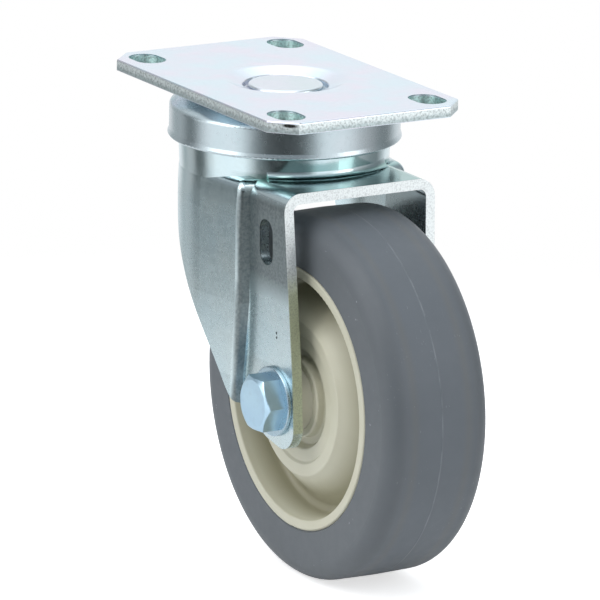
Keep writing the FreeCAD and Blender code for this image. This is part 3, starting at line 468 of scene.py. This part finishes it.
def fork_painted_reflections_and_gloss(tree, place):
    """Painted dark reflection on the step beside each cheek, speckled grey; the neck burnished
    smoother.

    The flat of the crown has a painted green reflection of the neck and cap.
    """
    split = add_node(tree, "SeparateXYZ", {"Vector": place})
    side = maths(tree, "ABSOLUTE", split.outputs["Y"])
    slant = maths(tree, "MULTIPLY_ADD", split.outputs["X"], math.cos(step_turn),
                  maths(tree, "MULTIPLY", side, math.sin(step_turn)))
    reach = stretch(tree, split.outputs["Z"], step_low[0], step_high[0], step_low[1], step_high[1])
    past = maths(tree, "SUBTRACT", slant, reach)
    step = stretch(tree, past, -1.0 * mm, -0.2 * mm)
    outer = stretch(tree, side, cheek_face - 0.1 * mm, cheek_face + 0.1 * mm)
    below = stretch(tree, split.outputs["Z"], *legs_top, 1.0, 0.0)
    step = maths(tree, "MULTIPLY", maths(tree, "MULTIPLY", step, outer), below)
    gloss = stretch(tree, split.outputs["Z"], *neck_run, 0.12, 0.0)
    gloss = maths(tree, "MULTIPLY_ADD", step, 0.14, gloss)
    # Painted dark reflection on each step, speckled between two greys.
    flecks = stretch(tree, noise(tree, place, 0.8 * mm), 0.35, 0.65)
    grey = mix(tree, flecks, shown(126, 136, 138), shown(150, 160, 162))
    # Painted green reflection on the flat of the crown.
    flat = between(tree, split.outputs["Z"], *crown_reflection_band, 0.5 * mm)
    forward = stretch(tree, split.outputs["X"], *crown_reflection_run, 0.0, 0.75)
    crown = maths(tree, "MULTIPLY", flat, forward)
    shade = mix(tree, crown, grey, shown(140, 188, 180))
    return maths(tree, "MAXIMUM", step, crown), shade, gloss


fork_zinc = zinc("fork_zinc", shown(200, 218, 223), shown(206, 220, 222), 0.14, cloud=-0.06,
                 edge=fork_edges, painted_reflections_and_gloss=fork_painted_reflections_and_gloss, dents=leg_dents)
dress("fork", fork_zinc)


# Lower race: the stamped steel cup under the fork's neck, held by the pin's foot, that carries the
# small balls. It has the same plating as the cap, with a trace of grease from the balls.
race_zinc = zinc("race_zinc", shown(200, 210, 214), shown(196, 200, 196), 0.24)
dress("lower_race", race_zinc)


# King pin: turned steel, its flat head sunk in the plate's dish and its foot riveted over
# the lower race. Plated with the plate, so it has the same blue cast.
pin_zinc = zinc("pin_zinc", shown(214, 226, 230), shown(222, 226, 234), 0.24)
dress("kingpin", pin_zinc)


# Wheel core: moulded in cream plastic, with a rim, a thin web and a hub. It is smooth with a slight
# sheen, and has painted shade in the recess round the hub.
def moulded(name, base, dust, rough, sheen=0.0, marks=None):
    """A moulded surface: even colour with slow drift, fine texture and soft gloss.

    The marks function lays painted shade, stains, lines and scratches over that colour and relief.
    """
    material, tree, place = new_material(name)
    drift = noise(tree, place, 18 * mm)
    colour = mix(tree, stretch(tree, drift, 0.35, 0.7, 0.0, 0.5), base, dust)
    relief = bump(tree, noise(tree, place, 0.25 * mm, 3.0), 0.01 * mm)
    gloss = stretch(tree, noise(tree, place, 3 * mm), 0.3, 0.7, rough - 0.05, rough + 0.07)
    if marks:
        colour, relief = marks(tree, place, colour, relief)
    finish_material(tree, Base_Color=colour, Roughness=gloss, Normal=relief, Sheen_Weight=sheen)
    return material


def from_axle(tree, place):
    """Distance from the axle's line, at any place along it."""
    split = add_node(tree, "SeparateXYZ", {"Vector": place})
    forward = maths(tree, "SUBTRACT", split.outputs["X"], axle.x)
    upward = maths(tree, "SUBTRACT", split.outputs["Z"], axle.z)
    squares = maths(tree, "MULTIPLY_ADD", forward, forward, maths(tree, "MULTIPLY", upward, upward))
    return maths(tree, "SQRT", squares)


def from_middle(tree, place):
    """Distance to either side from the middle of the wheel's width."""
    split = add_node(tree, "SeparateXYZ", {"Vector": place})
    return maths(tree, "ABSOLUTE", split.outputs["Y"])


def core_painted_shade(tree, place, colour, relief):
    """Painted shade in the recess between hub and rim, darker the deeper it lies."""
    recess = between(tree, from_axle(tree, place), *recess_band, 1.5 * mm)
    deep = stretch(tree, from_middle(tree, place), *recess_shade_run, 1.0, 0.0)
    recess_shade = maths(tree, "MULTIPLY", maths(tree, "MULTIPLY", recess, deep), 0.9)
    # Painted shade: the recess is darkened towards a brownish cream.
    return mix(tree, recess_shade, colour, shown(158, 154, 130)), relief


axle = sum(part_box("axle_sleeve"), Vector()) / 2
recess_band = (22.5 * mm, 36 * mm)
recess_shade_run = (9 * mm, 14 * mm)
cream = moulded("cream_plastic", shown(205, 203, 184), shown(196, 192, 170), 0.42, marks=core_painted_shade)
dress("wheel_core", cream)


# Tyre: moulded on the core in soft grey rubber that marks no floors, matt with a dull bloom. The
# mould's parting line runs round the middle of the tread.
def tyre_marks(tree, place, colour, relief):
    """Painted shade on the side walls, a stained shoulder, the parting line and a few light scuffs.
    """
    side = from_middle(tree, place)
    # Painted shade: both side walls are darkened.
    wall = stretch(tree, side, *side_wall_shade_run)
    colour = mix(tree, maths(tree, "MULTIPLY", wall, 0.45), colour, shown(86, 90, 93))
    shoulder = between(tree, side, *shoulder_band, 0.8 * mm)
    colour = mix(tree, maths(tree, "MULTIPLY", shoulder, 0.35), colour, shown(104, 104, 100))
    line = stretch(tree, side, *parting_run, 1.0, 0.0)
    broken = stretch(tree, noise(tree, place, 6 * mm), 0.42, 0.62, 0.03, 0.4)
    colour = mix(tree, maths(tree, "MULTIPLY", line, broken), colour, shown(150, 154, 160))
    relief = bump(tree, line, 0.06 * mm, relief)
    streaks = add_node(tree, "VectorMath", {0: place, 1: (1, 5, 1)}, operation="MULTIPLY")
    nicks = noise(tree, streaks.outputs[0], 1.4 * mm, 2.0)
    where = stretch(tree, noise(tree, place, 11 * mm, 1.0), 0.52, 0.62)
    flecks = maths(tree, "MULTIPLY", stretch(tree, nicks, 0.70, 0.74, 0.0, 0.5), where)
    return mix(tree, flecks, colour, shown(165, 168, 172)), relief


side_wall_shade_run = (9 * mm, 12 * mm)
shoulder_band = (7.4 * mm, 9.4 * mm)
parting_run = (0.08 * mm, 0.32 * mm)
rubber = moulded("grey_rubber", shown(97, 104, 111), shown(90, 97, 103), 0.52, sheen=0.15,
                 marks=tyre_marks)
dress("tyre", rubber)


# Bushes: flanged plain bearings of natural nylon, one pressed into each end of the core's hub.
# They run on the sleeve.
bush_plastic = moulded("bush_plastic", shown(196, 194, 178), shown(184, 182, 164), 0.4)
dress("bush_near", bush_plastic)
dress("bush_far", bush_plastic)


# Axle sleeve: a tube clamped between the legs by the bolt, on which the wheel turns.
# It is plain drawn steel, greyer than the plated pieces.
sleeve_steel = zinc("sleeve_steel", shown(176, 182, 184), shown(168, 172, 174), 0.28)
dress("axle_sleeve", sleeve_steel)


# Axle bolt: hexagon head with its corners turned down, plain shank, and a real thread on the end
# that comes through the nut. Its blue is stronger than the fork's.
bolt_low, bolt_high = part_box("axle_bolt")
head_face = bolt_low.y
head_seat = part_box("bolt_washer")[0].y
head_across = bolt_high.z - bolt_low.z
head_circle = 6.6 * mm
head_slope = math.tan(math.radians(30))
head_rings = (0, 0.1, 0.2, 0.318, 0.45, 0.6, 0.78, 0.956)
bolt_radius = 4.76 * mm
bolt_tip = bolt_high.y
tip_chamfer = 0.8 * mm
thread_start = 24.0 * mm
thread_pitch = 1.06 * mm
thread_depth = 0.6 * mm
thread_slope = 2.8
thread_crest = 0.25
thread_ring = 0.1 * mm
sectors = 96
sharp_edge = math.radians(24)


def head_reach(turn, depth):
    """Distance from the axle to the head's side, that deep below its face, one corner forward."""
    side = head_across / 2 / math.cos(turn % math.radians(60) - math.radians(30))
    return min(side, head_circle + depth / head_slope)


def thread_reach(turn, along):
    """Distance from the axle to the thread there. Its crests and roots are narrow flats."""
    phase = ((along - thread_start) / thread_pitch + turn / (2 * math.pi)) % 1
    ridge = min(max(abs(phase - 0.5) * thread_slope - thread_crest, 0), 1)
    fade = min(max((along - thread_start) / (2 * thread_pitch), 0), 1)
    reach = bolt_radius - thread_depth * fade * (1 - ridge)
    return min(reach, bolt_radius - max(along - (bolt_tip - tip_chamfer), 0))


stations = [(head_face + depth * mm, "head") for depth in head_rings]
stations += [(head_seat, "head"), (head_seat, "end"), (thread_start, "end")]
thread_length = bolt_tip - thread_start
rings = round(thread_length / thread_ring)
stations += [(thread_start + thread_length * ring / rings, "end") for ring in range(1, rings + 1)]
shape = bmesh.new()
bmesh.ops.create_grid(shape, x_segments=sectors, y_segments=len(stations) - 1, size=1)
for corner in shape.verts:
    turn = (corner.co.x + 1) * math.pi
    along, part = stations[round((corner.co.y + 1) / 2 * (len(stations) - 1))]
    reach = head_reach(turn, along - head_face) if part == "head" else thread_reach(turn, along)
    corner.co = (axle.x + reach * math.cos(turn), along, axle.z + reach * math.sin(turn))
bmesh.ops.remove_doubles(shape, verts=shape.verts, dist=0.001 * mm)
bmesh.ops.holes_fill(shape, edges=shape.edges, sides=0)
bmesh.ops.recalc_face_normals(shape, faces=shape.faces)
for face in shape.faces:
    face.smooth = True
mesh = bpy.data.meshes.new("threaded_bolt")
shape.to_mesh(mesh)
shape.free()
mesh.set_sharp_from_angle(angle=sharp_edge)
threaded_bolt = bpy.data.objects.new("threaded_bolt", mesh)
bpy.context.scene.collection.objects.link(threaded_bolt)
bolt_blue = (shown(194, 224, 240), shown(184, 214, 234))
bolt_zinc = zinc("bolt_zinc", *bolt_blue, 0.29, cloud=0.2)
mesh.materials.append(bolt_zinc)
dress("axle_bolt", bolt_zinc)
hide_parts("axle_bolt")
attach(threaded_bolt, "fork")


# Washers: flat rings punched from steel, one under the bolt's head and one under the nut. They are
# blue plated like the bolt but duller.
washer_zinc = zinc("washer_zinc", shown(180, 200, 210), shown(172, 194, 206), 0.26)
dress("bolt_washer", washer_zinc)
dress("nut_washer", washer_zinc)


# Lock nut: a hexagon steel nut with a collar, tightened on the bolt's end at the far leg. It has
# the bolt's blue plating.
nut_zinc = zinc("nut_zinc", *bolt_blue, 0.28, cloud=0.2)
dress("lock_nut", nut_zinc)


# Lock nut insert: the ring of white nylon that the nut's collar holds. It grips the thread, so the
# nut can't work loose.
nylon = moulded("nylon", shown(226, 226, 220), shown(214, 214, 206), 0.38)
dress("nut_insert", nylon)
